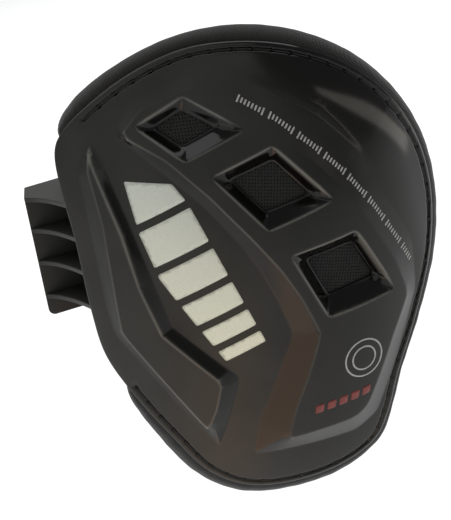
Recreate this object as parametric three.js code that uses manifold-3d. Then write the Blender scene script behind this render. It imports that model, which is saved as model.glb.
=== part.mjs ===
// A knee guard for riding: a moulded cup with a side tab, and the sewn pad behind it.
//
// The cup and the pad are drawn flat and then wrapped on to a dome. A flat point is [x, z, o]:
// x across the knee, z up the leg, and o outward from the dome's face. Every loop of points runs
// anticlockwise when it is seen from in front. Millimetres, +Z up the leg, the front faces -Y.
import * as THREE from 'three';
import Module from 'manifold-3d';

const wasm = await Module();
wasm.setup();

// The dome that everything is wrapped on. Its apex is the design's zero point.
const DOME_SIDE_RADIUS = 84;
const DOME_TOP_RADIUS = 135;
const DOME_BOTTOM_RADIUS = 190;
const DOME_CENTRE_Z = -5;
const DOME_ROUND_HALF_WIDTH = 60;

// The moulded cup.
const SHELL_WALL = 2.5;
const WEDGE_HEIGHT = 3.2;
const CORE_INSET = 1.5;
const CORE_FLOOR = -SHELL_WALL - 0.5;
const COLLAR_WALL = 1.8;
const SEAM_INSET = 2.6;
const GROOVE_HALF_WIDTH = 1.0;
const GROOVE_DEPTH = 1.2;

// The pad's layers, as offsets from the dome's face, each 0.3 from the next.
const GAP = 0.3;
const MESH_TOP = -SHELL_WALL - GAP;
const MESH_THICKNESS = 0.4;
const COVER_TOP = MESH_TOP - MESH_THICKNESS - GAP;
const COVER_THICKNESS = 0.4;
const IMPACT_TOP = COVER_TOP - COVER_THICKNESS - GAP;
const IMPACT_THICKNESS = 6;
const COMFORT_TOP = IMPACT_TOP - IMPACT_THICKNESS - GAP;
const COMFORT_THICKNESS = 4;
const LINING_TOP = COMFORT_TOP - COMFORT_THICKNESS - GAP;
const LINING_THICKNESS = 0.8;
const BINDING_WIDTH = 3;
const PAD_BACK = LINING_TOP - LINING_THICKNESS;
const THREAD_RADIUS = 0.35;
const BADGE_THICKNESS = 0.3;

// The side tab, in the dome's own straight axes.
const TAB_FRONT_Y = 53.5;
const TAB_BACK_Y = 68.5;
const TAB_BOTTOM_Z = -18;
const TAB_TOP_Z = 26.5;
const TAB_LEFT_AT_TOP = -71;
const TAB_LEFT_SLANT = 0.076;
const TAB_END_DRAFT = 1;
const TAB_INNER_X = -56.5;
const TAB_CORNER = 2.5;
const RIB_THICKNESS = 1.8;
const RIB_LEVELS = [-11.5, 1.2, 13.2, TAB_TOP_Z - RIB_THICKNESS];
const SIDE_WALL = 2.5;
const SIDE_WALL_DRAFT = 0.06;

// The flat seat on the back of the tab is the part's origin.
const SEAT = new THREE.Vector3(-64, TAB_BACK_Y, 4);

// How far a straight edge may stand off the dome once a flat solid is wrapped.
const SAG_LIMIT = 0.22;
// The rings that a pad layer's wide faces are divided into, as parts of its own outline.
const LAYER_RINGS = [0.14, 0.32, 0.5, 0.68, 0.85];

// Round the cup's edge, clockwise from the top of its left side.
const SHELL_OUTLINE = [
  [-57, 44], [-52.5, 50.5], [-40, 58.6], [-24, 65], [-6, 67.8], [13, 65], [31, 57.8],
  [47, 46.3], [59.6, 31], [67, 13], [68, -6], [62.5, -25], [50.5, -45], [38.5, -64],
  [32, -79], [26, -88.5], [14, -94], [-6, -95.5], [-24, -92], [-36.5, -82], [-46, -64],
  [-54.5, -45.5], [-60, -29], [-60.5, -12], [-59, 12],
];
// Round the pad's bound edge, the same way.
const PAD_OUTLINE = [
  [-54, 40], [-55.5, 51], [-47.5, 60], [-30, 68.5], [-8, 73], [14, 71], [35, 62.5],
  [54, 47.5], [67, 29], [73.5, 9], [73, -12], [66.5, -31], [54, -49], [42.5, -65.5],
  [36, -80], [29.5, -92.5], [14, -100.5], [-6, -102], [-27, -98], [-41, -86.5], [-52, -65.5],
  [-58, -47], [-56.5, -36], [-55.2, -20], [-54.4, 10],
];
// The raised wedge on the left: [foot x, foot z, top x, top z], down its left side and back up.
const WEDGE = [
  [-44.5, 46, -45.2, 42], [-51, 38, -46.8, 37], [-52.6, 20, -46.8, 19], [-54.6, -10, -49.5, -8],
  [-54.4, -20, -50.4, -18.5], [-33.8, -63.5, -32.8, -58.5], [-30.6, -71, -31.8, -59.5],
  [-24.6, -57.5, -27.8, -52], [-18.6, -42.9, -24.2, -42.1], [-35.5, -20, -38.5, -21],
  [-37.5, -5, -41.3, -4], [-39.8, 15, -42.1, 15], [-42.5, 37, -45.2, 38],
];
const WEDGE_CORE = [[-46.5, 8], [-48.8, -17], [-33.5, -54], [-26.5, -43], [-39.5, -21], [-43, 4]];
// The raised body on the right: [foot x, foot z, top x, top z, height], down its left side and back up.
const BODY = [
  [-36.5, 47.5, -34, 46, 0.5], [-25.5, 33, -22.5, 35.5, 1.6], [-15.9, 19.7, -12.6, 21.2, 2.4],
  [-7.8, 4.9, -3.4, 5, 3], [-3.3, -6.2, 3, -7.5, 3.6], [-0.2, -18, 7.2, -19, 4.2],
  [2.3, -32, 10.6, -33, 4.8], [-5.4, -45, 4.5, -45.5, 4.6], [-14.9, -61.8, -2.6, -59, 4.2],
  [-20, -77, -7, -70.5, 4], [18, -80, 17, -71, 3.6], [27, -76, 22, -68.5, 3.6],
  [41.5, -51, 36.3, -45.7, 3.8], [51, -35.5, 45.5, -34, 3.6], [53.5, -18, 43, -20, 3.3],
  [44, 8, 34.5, 2, 2.8], [30, 33, 25.5, 18.5, 2.4], [14, 48, 12, 36.5, 1.8],
  [-4, 60, -8, 55.5, 1], [-27, 57, -26, 52.5, 0.6],
];
// Each vent is a sloping pocket from its mouth in the raised body down to a smaller window.
const VENTS = [
  {
    name: 'upper',
    height: 1.6,
    mouth: [[-29.3, 47.8], [-17.1, 33.7], [4.1, 38.6], [-11.8, 53.5]],
    window: [[-24.2, 46.8], [-17.1, 39.4], [-4.8, 42.5], [-13.4, 49.9]],
  },
  {
    name: 'middle',
    height: 2.6,
    mouth: [[-10.6, 27.3], [2.3, 5.9], [26, 8.4], [11.1, 31.3]],
    window: [[-4.3, 24.9], [4, 11.7], [20.3, 12.7], [11, 26.8]],
  },
  {
    name: 'lower',
    height: 3.6,
    mouth: [[7, -4], [14.4, -28.6], [40.3, -30], [30.9, -4.1]],
    window: [[13.6, -8.5], [18, -23.4], [37.9, -23.5], [32.4, -8.9]],
  },
];
const BADGE_OUTLINE = [
  [-37.8, 32], [-37.8, 14], [-35.5, -2], [-29, -18], [-21.5, -36], [-7.1, -41.8], [-5, -40],
  [-12.8, -9], [-20.2, 21.7], [-23.2, 28.3],
];
// The side wall behind the cup's left edge: [height, how far back it reaches].
const WALL_STATIONS = [
  [-34, 32], [-27, 50], [-19, TAB_BACK_Y], [-5, TAB_BACK_Y], [10, TAB_BACK_Y],
  [TAB_TOP_Z, TAB_BACK_Y], [34, 52], [42, 37],
];
// The cup's left edge, from bottom to top, where the side wall grows from it: [x, z].
const LEFT_EDGE = [[-58.2, -36], [-60, -29], [-60.5, -12], [-59, 12], [-57, 44]];

const colours = {
  shell: { color: 0x2a2b2a, roughness: 0.45, metalness: 0 },
  mesh: { color: 0x101012, roughness: 0.9, metalness: 0 },
  foam: { color: 0x3a3b3d, roughness: 0.95, metalness: 0 },
  textile: { color: 0x1d1918, roughness: 0.95, metalness: 0 },
  thread: { color: 0x0c0b0b, roughness: 0.8, metalness: 0 },
  badge: { color: 0xd9d8cd, roughness: 0.4, metalness: 0.3 },
};

// ---------------------------------------------------------------- the dome

function arcDepth(distance, radius) {
  return radius - Math.sqrt(radius ** 2 - distance ** 2);
}

function arcSlope(distance, radius) {
  return distance / Math.sqrt(radius ** 2 - distance ** 2);
}

// The dome is round across the knee up to a half width, and straight beyond it.
function domeFace(x, z) {
  const rounded = THREE.MathUtils.clamp(x, -DOME_ROUND_HALF_WIDTH, DOME_ROUND_HALF_WIDTH);
  const slopeX = arcSlope(rounded, DOME_SIDE_RADIUS);
  const upRadius = z > DOME_CENTRE_Z ? DOME_TOP_RADIUS : DOME_BOTTOM_RADIUS;
  const up = z - DOME_CENTRE_Z;
  const depth = arcDepth(rounded, DOME_SIDE_RADIUS) + slopeX * (x - rounded) + arcDepth(up, upRadius);
  return { depth, slopeX, slopeZ: arcSlope(up, upRadius) };
}

function wrap([x, z, o]) {
  const face = domeFace(x, z);
  const outward = new THREE.Vector3(face.slopeX, -1, face.slopeZ).normalize();
  return [x + o * outward.x, face.depth + o * outward.y, z + o * outward.z];
}

// ---------------------------------------------------------------- loops

function smoothLoop(corners, count) {
  const points = corners.map(([x, z]) => new THREE.Vector3(x, z, 0));
  const curve = new THREE.CatmullRomCurve3(points, true, 'centripetal');
  return curve.getSpacedPoints(count).slice(0, count).map((p) => [p.x, p.y]).reverse();
}

// Moves each point of an anticlockwise loop inward by a distance.
function insetLoop(loop, distance) {
  return loop.map((point, i) => {
    const before = loop[(i + loop.length - 1) % loop.length];
    const after = loop[(i + 1) % loop.length];
    const a = new THREE.Vector2(point[0] - before[0], point[1] - before[1]).normalize();
    const b = new THREE.Vector2(after[0] - point[0], after[1] - point[1]).normalize();
    const inward = new THREE.Vector2(-a.y - b.y, a.x + b.x).normalize();
    const reach = distance / Math.max(inward.dot(new THREE.Vector2(-a.y, a.x)), 0.5);
    return [point[0] + inward.x * reach, point[1] + inward.y * reach];
  });
}

function atOffset(loop, offset) {
  return loop.map(([x, z], i) => [x, z, Array.isArray(offset) ? offset[i] : offset]);
}

// ---------------------------------------------------------------- solids

function toManifold(points, triangles) {
  return new wasm.Manifold(new wasm.Mesh({
    numProp: 3,
    vertProperties: new Float32Array(points.flat()),
    triVerts: new Uint32Array(triangles.flat()),
  }));
}

// A closed solid through loops of equal length, from the lowest to the highest.
function loft(loops) {
  const count = loops[0].length;
  const triangles = [];
  for (let level = 0; level + 1 < loops.length; level += 1) {
    for (let i = 0; i < count; i += 1) {
      const low = level * count + i;
      const lowNext = level * count + ((i + 1) % count);
      triangles.push([low, lowNext, lowNext + count], [low, lowNext + count, low + count]);
    }
  }
  const capOf = (loop) => THREE.ShapeUtils.triangulateShape(loop.map(([x, z]) => new THREE.Vector2(x, z)), []);
  const lastStart = (loops.length - 1) * count;
  capOf(loops[0]).forEach(([a, b, c]) => triangles.push([a, c, b]));
  capOf(loops.at(-1)).forEach(([a, b, c]) => triangles.push([a + lastStart, b + lastStart, c + lastStart]));
  return toManifold(loops.flat(), triangles);
}

function slab(loop, top, thickness) {
  return loft([atOffset(loop, top - thickness), atOffset(loop, top)]);
}

// A wide thin layer, with rings across its faces so that it bends evenly.
function layer(loop, top, thickness) {
  const ring = (share) => loop.map(([x, z]) => [x * share, z * share + DOME_CENTRE_Z * (1 - share)]);
  const below = LAYER_RINGS.map((share) => atOffset(ring(share), top - thickness));
  const above = LAYER_RINGS.map((share) => atOffset(ring(share), top)).reverse();
  return loft([...below, atOffset(loop, top - thickness), atOffset(loop, top), ...above]);
}

function meshArrays(solid) {
  const mesh = solid.getMesh();
  const points = [];
  const triangles = [];
  for (let i = 0; i < mesh.vertProperties.length; i += mesh.numProp) {
    points.push([...mesh.vertProperties.slice(i, i + 3)]);
  }
  for (let i = 0; i < mesh.triVerts.length; i += 3) {
    triangles.push([...mesh.triVerts.slice(i, i + 3)]);
  }
  return { points, triangles };
}

// Cuts a triangle at the middles of its long sides; a middle is -1 where a side stays whole.
function cutTriangle(corners, middles) {
  const cuts = middles.filter((m) => m >= 0).length;
  if (cuts === 0) return [corners];
  const turn = [0, 1, 2].find((k) => (cuts === 1 ? middles[k] >= 0 : middles[(k + 2) % 3] < 0)) ?? 0;
  const [a, b, c] = [0, 1, 2].map((k) => corners[(k + turn) % 3]);
  const [ab, bc, ca] = [0, 1, 2].map((k) => middles[(k + turn) % 3]);
  if (cuts === 1) return [[a, ab, c], [ab, b, c]];
  if (cuts === 2) return [[ab, b, bc], [a, ab, bc], [a, bc, c]];
  return [[a, ab, ca], [ab, b, bc], [ca, bc, c], [ab, bc, ca]];
}

// Halves every edge that would sag too far once it is wrapped, until none is left.
function refine({ points, triangles }) {
  const middleOf = new Map();
  const halfway = (p, q) => p.map((value, k) => (value + q[k]) / 2);
  const middle = (a, b) => {
    const key = a < b ? `${a} ${b}` : `${b} ${a}`;
    if (middleOf.has(key)) return middleOf.get(key);
    const centre = halfway(points[a], points[b]);
    const chord = halfway(wrap(points[a]), wrap(points[b]));
    const sag = Math.hypot(...wrap(centre).map((value, k) => value - chord[k]));
    middleOf.set(key, sag > SAG_LIMIT ? points.push(centre) - 1 : -1);
    return middleOf.get(key);
  };
  let current = triangles;
  let before = -1;
  while (points.length !== before) {
    before = points.length;
    current = current.flatMap(([a, b, c]) => cutTriangle([a, b, c], [middle(a, b), middle(b, c), middle(c, a)]));
  }
  return { points, triangles: current };
}

function wrapped(flatSolid) {
  const { points, triangles } = refine(meshArrays(flatSolid));
  return toManifold(points.map(wrap), triangles);
}

function named(name, geometry, material) {
  const mesh = new THREE.Mesh(geometry, new THREE.MeshStandardMaterial(material));
  mesh.name = name;
  return mesh;
}

function solidMesh(name, solid, material) {
  const { points, triangles } = meshArrays(solid);
  const geometry = new THREE.BufferGeometry();
  geometry.setAttribute('position', new THREE.Float32BufferAttribute(points.flat(), 3));
  geometry.setIndex(triangles.flat());
  return named(name, geometry, material);
}

// ---------------------------------------------------------------- the moulded cup

const shellLoop = smoothLoop(SHELL_OUTLINE, 64);
const padLoop = smoothLoop(PAD_OUTLINE, 40);

// The seam follows the cup's edge all round except beside the tab.
const seam = (() => {
  const inset = insetLoop(shellLoop, SEAM_INSET);
  const beside = ([x, z]) => x < -44 && z > -42 && z < 53;
  const start = inset.findIndex((point, i) => !beside(point) && beside(inset.at(i - 1)));
  const turned = [...inset.slice(start), ...inset.slice(0, start)];
  return turned.filter((point) => !beside(point));
})();

function seamGroove() {
  const side = (shift) => seam.map((point, i) => {
    const before = seam[Math.max(i - 1, 0)];
    const after = seam[Math.min(i + 1, seam.length - 1)];
    const along = new THREE.Vector2(after[0] - before[0], after[1] - before[1]).normalize();
    return [point[0] + along.y * shift, point[1] - along.x * shift];
  });
  const loop = [...side(GROOVE_HALF_WIDTH), ...side(-GROOVE_HALF_WIDTH).reverse()];
  return loft([atOffset(loop, -GROOVE_DEPTH), atOffset(loop, 1)]);
}

function wedgeSolid() {
  const foot = WEDGE.map(([x, z]) => [x, z]);
  const top = WEDGE.map((row) => [row[2], row[3]]);
  return loft([atOffset(foot, -1), atOffset(foot, 0), atOffset(top, WEDGE_HEIGHT)]);
}

function bodySolid() {
  const foot = BODY.map(([x, z]) => [x, z]);
  const top = BODY.map((row) => [row[2], row[3]]);
  return loft([atOffset(foot, -1), atOffset(foot, 0), atOffset(top, BODY.map((row) => row[4]))]);
}

// The raised areas are hollow behind, so that the moulding keeps an even wall.
function wedgeCore() {
  return loft([atOffset(WEDGE_CORE, CORE_FLOOR), atOffset(WEDGE_CORE, WEDGE_HEIGHT - SHELL_WALL)]);
}

function bodyCore() {
  const loop = insetLoop(BODY.map((row) => [row[2], row[3]]), CORE_INSET);
  return loft([atOffset(loop, CORE_FLOOR), atOffset(loop, BODY.map((row) => row[4] - SHELL_WALL))]);
}

function ventSolid(vent, wall, floor) {
  const window = insetLoop(vent.window, -wall);
  const mouth = insetLoop(vent.mouth, -wall);
  return loft([
    atOffset(window, floor), atOffset(window, -SHELL_WALL + GAP),
    atOffset(mouth, vent.height), atOffset(mouth, vent.height + 2),
  ]);
}

function flatShell() {
  const filled = slab(shellLoop, 0, SHELL_WALL).add(wedgeSolid()).add(bodySolid());
  let hollow = wedgeCore().add(bodyCore());
  VENTS.forEach((vent) => {
    hollow = hollow.subtract(ventSolid(vent, COLLAR_WALL, CORE_FLOOR - 1));
  });
  let shell = filled.subtract(hollow).subtract(seamGroove());
  VENTS.forEach((vent) => {
    shell = shell.subtract(ventSolid(vent, 0, CORE_FLOOR));
  });
  return shell;
}

function leftEdgeX(z) {
  const i = LEFT_EDGE.findIndex((point, k) => k > 0 && (z <= point[1] || k === LEFT_EDGE.length - 1));
  const [[x0, z0], [x1, z1]] = [LEFT_EDGE[i - 1], LEFT_EDGE[i]];
  return THREE.MathUtils.mapLinear(z, z0, z1, x0, x1);
}

// Where the side wall starts inside the cup's left edge.
function wallFront(z) {
  const x = leftEdgeX(z) + 0.6;
  return { x, y: domeFace(x, z).depth + 0.6 };
}

function sideWall() {
  return loft(WALL_STATIONS.map(([z, backY]) => {
    const front = wallFront(z);
    const backX = front.x + SIDE_WALL_DRAFT * (backY - front.y);
    return [
      [front.x, front.y, z], [front.x + SIDE_WALL, front.y + 1, z],
      [backX + SIDE_WALL, backY, z], [backX, backY, z],
    ];
  }));
}

function tabLeft(z) {
  return TAB_LEFT_AT_TOP - TAB_LEFT_SLANT * (TAB_TOP_Z - z);
}

function tabBlock() {
  const section = (z, shrink) => [
    [tabLeft(z) + shrink, TAB_FRONT_Y, z], [TAB_INNER_X, TAB_FRONT_Y, z],
    [TAB_INNER_X, TAB_BACK_Y, z], [tabLeft(z) + shrink + TAB_END_DRAFT, TAB_BACK_Y, z],
  ];
  return loft([
    section(TAB_BOTTOM_Z, TAB_CORNER), section(TAB_BOTTOM_Z + TAB_CORNER / 4, TAB_CORNER / 3),
    section(TAB_BOTTOM_Z + TAB_CORNER, 0), section(TAB_TOP_Z, 0),
  ]);
}

// A gusset from the front of the tab up to the cup's edge, with a hollow curved crest.
function rib(z) {
  const front = wallFront(z);
  const left = tabLeft(z);
  const shape = new THREE.Shape();
  shape.moveTo(left + 0.3, TAB_FRONT_Y + 0.5);
  shape.lineTo(left + 0.3, TAB_FRONT_Y - 0.3);
  const bendY = THREE.MathUtils.lerp(TAB_FRONT_Y, front.y, 0.22);
  shape.quadraticCurveTo((left + front.x) / 2, bendY, front.x, front.y + 1);
  shape.lineTo(front.x + SIDE_WALL / 2, front.y + 2);
  shape.lineTo(front.x + SIDE_WALL / 2, TAB_FRONT_Y + 0.5);
  const loop = shape.getPoints(6).map((p) => [p.x, p.y]);
  return loft([atOffset(loop, z), atOffset(loop, z + RIB_THICKNESS)]);
}

// Pockets in the tab, open towards the knee, keep the thick tab from being solid.
function tabPocket(z, top) {
  const loop = [[-68.5, 56.5], [-50, 56.5], [-50, 65.5], [-68.5, 65.5]];
  return loft([atOffset(loop, z), atOffset(loop, top)]);
}

function impactShell() {
  let shell = wrapped(flatShell()).add(sideWall()).add(tabBlock());
  RIB_LEVELS.forEach((z) => {
    shell = shell.add(rib(z));
  });
  RIB_LEVELS.slice(1).forEach((z, i) => {
    shell = shell.subtract(tabPocket(RIB_LEVELS[i] + RIB_THICKNESS, z));
  });
  return shell;
}

// ---------------------------------------------------------------- the pad

const foamLoop = insetLoop(padLoop, BINDING_WIDTH + GAP);

function impactFoam() {
  let foam = layer(foamLoop, IMPACT_TOP, IMPACT_THICKNESS);
  VENTS.forEach((vent) => {
    foam = foam.subtract(slab(vent.window, IMPACT_TOP + 1, IMPACT_THICKNESS + 2));
  });
  return foam;
}

function edgeBinding() {
  const outer = slab(padLoop, MESH_TOP, MESH_TOP - PAD_BACK);
  const inner = slab(insetLoop(padLoop, BINDING_WIDTH), MESH_TOP + 1, MESH_TOP - PAD_BACK + 2);
  return outer.subtract(inner);
}

function thread(name, offset) {
  const path = new THREE.CatmullRomCurve3(seam.map(([x, z]) => new THREE.Vector3(...wrap([x, z, offset]))));
  const section = new THREE.Shape();
  const corner = [0, 1, 2, 3].map((k) => k * Math.PI / 2).map((angle) => [Math.cos(angle) * THREAD_RADIUS, Math.sin(angle) * THREAD_RADIUS]);
  section.moveTo(...corner[0]);
  corner.slice(1).forEach((point) => section.lineTo(...point));
  const options = { steps: seam.length, bevelEnabled: false, extrudePath: path };
  return named(name, new THREE.ExtrudeGeometry(section, options), colours.thread);
}

const padPieces = [
  solidMesh('outer_cover', wrapped(layer(foamLoop, COVER_TOP, COVER_THICKNESS)), colours.textile),
  solidMesh('impact_foam', wrapped(impactFoam()), colours.foam),
  solidMesh('comfort_foam', wrapped(layer(foamLoop, COMFORT_TOP, COMFORT_THICKNESS)), colours.foam),
  solidMesh('inner_lining', wrapped(layer(foamLoop, LINING_TOP, LINING_THICKNESS)), colours.textile),
  solidMesh('edge_binding', wrapped(edgeBinding()), colours.textile),
];

const ventPieces = VENTS.map((vent) => {
  const loop = insetLoop(vent.window, -COLLAR_WALL);
  return solidMesh(`vent_mesh_${vent.name}`, wrapped(slab(loop, MESH_TOP, MESH_THICKNESS)), colours.mesh);
});

const guard = new THREE.Group();
guard.add(solidMesh('impact_shell', impactShell(), colours.shell));
guard.add(...ventPieces, ...padPieces);
guard.add(thread('needle_thread', -GROOVE_DEPTH / 2), thread('bobbin_thread', PAD_BACK - GAP - THREAD_RADIUS));
const badge = slab(BADGE_OUTLINE, GAP + BADGE_THICKNESS, BADGE_THICKNESS);
guard.add(solidMesh('badge_film', wrapped(badge), colours.badge));
guard.position.copy(SEAT).negate();

export default guard;
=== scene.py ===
"""A knee guard for riding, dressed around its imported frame.

The guard is drawn flat, as [x, z] in millimetres with an offset o outward, and wrapped on to the
same dome as the frame. The moulded cup is a height map over that dome, cut to the cup's outline.
"""
import math

import bmesh
import bpy
import numpy as np
from mathutils import Matrix, Vector
from mathutils.geometry import delaunay_2d_cdt


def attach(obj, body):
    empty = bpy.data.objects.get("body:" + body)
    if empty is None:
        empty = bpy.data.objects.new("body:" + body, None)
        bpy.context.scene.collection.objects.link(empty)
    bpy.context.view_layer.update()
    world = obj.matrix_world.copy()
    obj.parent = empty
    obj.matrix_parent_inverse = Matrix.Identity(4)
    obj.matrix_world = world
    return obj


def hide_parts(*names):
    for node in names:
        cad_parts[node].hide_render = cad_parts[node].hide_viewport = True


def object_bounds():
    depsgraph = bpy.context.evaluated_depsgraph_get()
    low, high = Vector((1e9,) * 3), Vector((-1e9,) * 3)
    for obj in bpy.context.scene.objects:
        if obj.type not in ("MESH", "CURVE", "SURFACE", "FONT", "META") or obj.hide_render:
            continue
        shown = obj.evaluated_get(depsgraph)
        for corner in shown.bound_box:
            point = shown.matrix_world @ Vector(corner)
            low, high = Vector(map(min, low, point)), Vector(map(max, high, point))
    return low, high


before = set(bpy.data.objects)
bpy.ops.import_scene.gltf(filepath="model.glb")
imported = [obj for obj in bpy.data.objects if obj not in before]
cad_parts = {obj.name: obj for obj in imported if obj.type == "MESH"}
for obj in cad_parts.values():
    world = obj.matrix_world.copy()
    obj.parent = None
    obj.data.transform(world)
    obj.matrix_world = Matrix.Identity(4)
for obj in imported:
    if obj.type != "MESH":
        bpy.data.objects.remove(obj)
cad_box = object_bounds()

MM = 0.001
ROOT = "root"

# ------------------------------------------------------------------ the design, as in the frame

DOME_SIDE_RADIUS = 84.0
DOME_TOP_RADIUS = 135.0
DOME_BOTTOM_RADIUS = 190.0
DOME_CENTRE_Z = -5.0
DOME_ROUND_HALF_WIDTH = 60.0
SEAT = np.array([-64.0, 68.5, 4.0])

# The layers, from the cup to the knee. Each top is an offset from the dome's face.
SHELL_WALL = 2.5
GAP = 0.3
MESH_THICKNESS = 0.4
COVER_THICKNESS = 0.4
IMPACT_THICKNESS = 6.0
COMFORT_THICKNESS = 4.0
LINING_THICKNESS = 0.8
TAPE_THICKNESS = 0.7
MESH_TOP = -SHELL_WALL - GAP
COVER_TOP = MESH_TOP - MESH_THICKNESS - GAP
IMPACT_TOP = COVER_TOP - COVER_THICKNESS - GAP
COMFORT_TOP = IMPACT_TOP - IMPACT_THICKNESS - GAP
LINING_TOP = COMFORT_TOP - COMFORT_THICKNESS - GAP
PAD_BACK = LINING_TOP - LINING_THICKNESS
SEAM_INSET = 2.6
BINDING_WIDTH = 3.0

SHELL_OUTLINE = [
    (-57, 44), (-52.5, 50.5), (-40, 58.6), (-24, 65), (-6, 67.8), (13, 65), (31, 57.8),
    (47, 46.3), (59.6, 31), (67, 13), (68, -6), (62.5, -25), (50.5, -45), (38.5, -64),
    (32, -79), (26, -88.5), (14, -94), (-6, -95.5), (-24, -92), (-36.5, -82), (-46, -64),
    (-54.5, -45.5), (-60, -29), (-60.5, -12), (-59, 12),
]
PAD_OUTLINE = [
    (-54, 40), (-55.5, 51), (-47.5, 60), (-30, 68.5), (-8, 73), (14, 71), (35, 62.5),
    (54, 47.5), (67, 29), (73.5, 9), (73, -12), (66.5, -31), (54, -49), (42.5, -65.5),
    (36, -80), (29.5, -92.5), (14, -100.5), (-6, -102), (-27, -98), (-41, -86.5), (-52, -65.5),
    (-58, -47), (-56.5, -36), (-55.2, -20), (-54.4, 10),
]
WEDGE_FOOT = [
    (-44.5, 46), (-51, 38), (-52.6, 20), (-54.6, -10), (-54.4, -20), (-33.8, -63.5), (-30.6, -71),
    (-24.6, -57.5), (-18.6, -42.9), (-35.5, -20), (-37.5, -5), (-39.8, 15), (-42.5, 37),
]
WEDGE_TOP = [
    (-45.2, 42), (-46.8, 37), (-46.8, 19), (-49.5, -8), (-50.4, -18.5), (-32.8, -58.5), (-31.8, -59.5),
    (-27.8, -52), (-24.2, -42.1), (-38.5, -21), (-41.3, -4), (-42.1, 15), (-45.2, 38),
]
BODY_FOOT = [
    (-36.5, 47.5), (-25.5, 33), (-15.9, 19.7), (-7.8, 4.9), (-3.3, -6.2), (-0.2, -18), (2.3, -32),
    (-5.4, -45), (-14.9, -61.8), (-20, -77), (18, -80), (27, -76), (41.5, -51), (51, -35.5),
    (53.5, -18), (44, 8), (30, 33), (14, 48), (-4, 60), (-27, 57),
]
BODY_TOP = [
    (-34, 46), (-22.5, 35.5), (-12.6, 21.2), (-3.4, 5), (3, -7.5), (7.2, -19), (10.6, -33),
    (4.5, -45.5), (-2.6, -59), (-7, -70.5), (17, -71), (22, -68.5), (36.3, -45.7), (45.5, -34),
    (43, -20), (34.5, 2), (25.5, 18.5), (12, 36.5), (-8, 55.5), (-26, 52.5),
]
# Each vent's mouth in the cup's face and its window at the pocket's floor.
VENTS = {
    "upper": (
        [(-29.3, 47.8), (-17.1, 33.7), (4.1, 38.6), (-11.8, 53.5)],
        [(-24.2, 46.8), (-17.1, 39.4), (-4.8, 42.5), (-13.4, 49.9)],
    ),
    "middle": (
        [(-10.6, 27.3), (2.3, 5.9), (26, 8.4), (11.1, 31.3)],
        [(-4.3, 24.9), (4, 11.7), (20.3, 12.7), (11, 26.8)],
    ),
    "lower": (
        [(7, -4), (14.4, -28.6), (40.3, -30), (30.9, -4.1)],
        [(13.6, -8.5), (18, -23.4), (36.5, -23.5), (31.1, -8.9)],
    ),
}
BADGE_OUTLINE = [
    (-37.8, 32), (-37.8, 14), (-35.5, -2), (-29, -18), (-21.5, -36), (-7.1, -41.8), (-5, -40),
    (-12.8, -9), (-20.2, 21.7), (-23.2, 28.3),
]

# The side tab and its wall, in the dome's straight axes.
TAB_FRONT_Y = 53.5
TAB_BACK_Y = 68.5
TAB_BOTTOM_Z = -18.0
TAB_TOP_Z = 26.5
TAB_LEFT_AT_TOP = -71.0
TAB_LEFT_SLANT = 0.076
TAB_END_DRAFT = 1.0
TAB_INNER_X = -56.5
TAB_CORNER = 2.5
RIB_THICKNESS = 1.8
RIB_LEVELS = [-11.5, 1.2, 13.2, TAB_TOP_Z - RIB_THICKNESS]
SIDE_WALL = 2.5
SIDE_WALL_DRAFT = 0.06
WALL_STATIONS = [
    (-34, 32), (-27, 50), (-19, TAB_BACK_Y), (-5, TAB_BACK_Y), (10, TAB_BACK_Y),
    (TAB_TOP_Z, TAB_BACK_Y), (34, 52), (42, 37),
]
LEFT_EDGE = [(-58.2, -36), (-60, -29), (-60.5, -12), (-59, 12), (-57, 44)]
POCKET_BETWEEN_RIBS = [(-68.5, 56.5), (-50, 56.5), (-50, 65.5), (-68.5, 65.5)]

# Heights, depths and roundings of the moulding's surface.
WEDGE_HEIGHT = 3.4
WEDGE_FOOT_ROUND = 0.4
WEDGE_TOP_ROUND = 0.3
BODY_ROUND = 1.5
STITCH_PITCH = 6.7
GROOVE_HALF_WIDTH = 0.52
GROOVE_DEPTH = 0.95
HOLE_RADIUS = 0.68
HOLE_DEPTH = 1.1
LIP_RADIUS = 1.0
WINDOW_FLOOR = -2.0
WINDOW_ROUND = 1.4
MOUTH_ROUND = 0.9
CREASE_BLUR = 0.27
UNDERSIDE_BLUR = 0.9
POCKET_SKIRT = 3.4
RIDGE = [(6, 55.5), (10.4, 52.1), (16.1, 47.6), (24.1, 41), (29.7, 35.9), (35, 28.1), (39.8, 19.9), (43, 11)]
# The long wall above its bend, which is less polished than below it.
UPPER_WALL = [(-40, 50), (8, 0), (14, -33), (-2, -31), (-10, -10), (-40, 40)]

# Where the cup's mesh has its points: even grids, and rows at set distances from each edge.
CELL = 0.25
SHELL_STEP = 1.0
PAD_STEP = 1.4
FINE_STEP = 0.45
SPARSE_COLUMNS = 6
SPARSE_ROWS = 3
BEND_LIMIT = 0.12
UNDERSIDE_STEP = 2.0
SEAM_STEP = 0.55
SEAM_ROWS = (-1.5, -1.1, -0.85, -0.65, -0.45, -0.2, 0, 0.2, 0.45, 0.65, 0.85, 1.1, 1.5)
SEAM_CLEAR = 1.75
HOLE_RINGS = (0.35, 0.75)
HOLE_CLEAR = 0.95
LIP_ROWS = (0.1, 0.3, 0.6, 1.0)
LIP_CLEAR = 1.2
EDGE_ROWS = (-0.95, -0.5, -0.25, 0, 0.25, 0.5, 0.95)
EDGE_CLEAR = 1.15
WINDOW_ROWS = (-0.2, -0.45, -0.8, -1.2, -1.7, -2.3)
WINDOW_CLEAR = 1.3
HEXAGON_RISE = 0.866

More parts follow.
